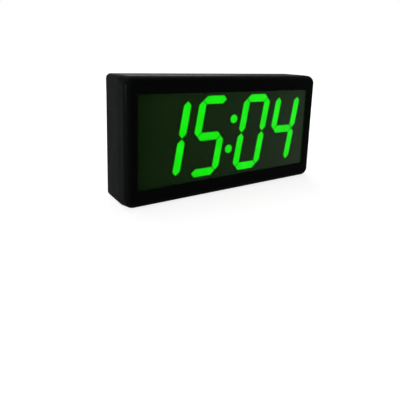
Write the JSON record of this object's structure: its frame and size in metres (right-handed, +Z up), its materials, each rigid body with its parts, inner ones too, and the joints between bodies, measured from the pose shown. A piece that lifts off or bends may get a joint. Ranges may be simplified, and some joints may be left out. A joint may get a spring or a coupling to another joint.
{
  "type": "led wall clock",
  "caption": "Black digital wall clock with slanted green glowing digits behind a tinted window, a cable recess and keyholes in its back, and a white network lead.",
  "frame": {"origin": "middle of the case's base, midway between its front and back faces", "axes": "+Z up, digits face -Y, +X to the right as the digits are read"},
  "size_m": [0.3226, 0.1342, 0.158],
  "materials": {
    "case_black": "fine moulded satin",
    "tape_black": "foam tape",
    "lens_green": "polished, tinted, see-through",
    "light_box_dark": "matt moulded",
    "digit_green": "milky diffuser, glowing green",
    "diffuser_dark": "milky diffuser, unlit",
    "led_pale": "moulded",
    "board_green": "solder mask",
    "screw_steel": "zinc plated",
    "chip_black": "moulded",
    "header_black": "moulded",
    "ribbon_grey": "ribbed",
    "transformer_dark": "ferrite and tape",
    "capacitor_sleeve": "shrunk sleeve",
    "can_steel": "drawn",
    "jack_grey": "moulded",
    "contact_gold": "gold plated",
    "button_red": "moulded",
    "button_grey": "moulded",
    "plug_clear": "clear moulded",
    "shield_gold": "plated sheet",
    "boot_white": "soft moulded",
    "cable_white": "soft jacket",
    "tie_black": "hook and loop"
  },
  "bodies": {
    "case": {"front_frame": "case_black", "lens_tape": "tape_black", "window_lens": "lens_green", "light_box": "light_box_dark", "digit_1_lit": "digit_green", "digit_2_lit": "digit_green", "digit_3_lit": "digit_green", "digit_4_lit": "digit_green", "unlit_segments": "diffuser_dark", "colon_dots": "digit_green", "segment_leds": "led_pale", "display_board": "board_green", "display_screws": "screw_steel", "driver_chips": "chip_black", "ribbon_headers": "header_black", "ribbon_plugs": "header_black", "ribbon_cable": "ribbon_grey", "rear_cover": "case_black", "control_board": "board_green", "control_screws": "screw_steel", "power_transformer": "transformer_dark", "storage_capacitors": "capacitor_sleeve", "processor_chip": "chip_black", "clock_crystal": "can_steel", "battery_holder": "header_black", "backup_cell": "can_steel", "network_jack": "jack_grey", "jack_contacts": "contact_gold", "red_switch": "header_black", "grey_switch": "header_black", "plug_body": "plug_clear", "plug_shield": "shield_gold", "plug_boot": "boot_white", "network_lead": "cable_white", "lead_coil": "cable_white", "lead_tie": "tie_black", "lead_tail": "cable_white", "far_plug_body": "plug_clear", "far_plug_shield": "shield_gold", "far_plug_boot": "boot_white"},
    "red_button": {"red_button": "button_red"},
    "grey_button": {"grey_button": "button_grey"},
    "plug_latch": {"plug_latch": "plug_clear"},
    "far_plug_latch": {"far_plug_latch": "plug_clear"}
  },
  "joints": [
    {"name": "red_button_press", "type": "slide", "parent": "case", "child": "red_button", "axis": [-1, 0, 0], "range_m": [0, 0.0012], "stiffness_N_per_m": 1200},
    {"name": "grey_button_press", "type": "slide", "parent": "case", "child": "grey_button", "axis": [-1, 0, 0], "range_m": [0, 0.0012], "stiffness_N_per_m": 1200},
    {"name": "plug_latch_press", "type": "hinge", "parent": "case", "child": "plug_latch", "pos_m": [-0.0522, 0.02615, 0.086], "axis": [0, 0, -1], "range_deg": [0, 5], "stiffness_Nm_per_rad": 0.5},
    {"name": "far_plug_latch_press", "type": "hinge", "parent": "case", "child": "far_plug_latch", "pos_m": [-0.0711, 0.096, 0.00865], "axis": [0, 1, 0], "range_deg": [0, 5], "stiffness_Nm_per_rad": 0.5}
  ]
}
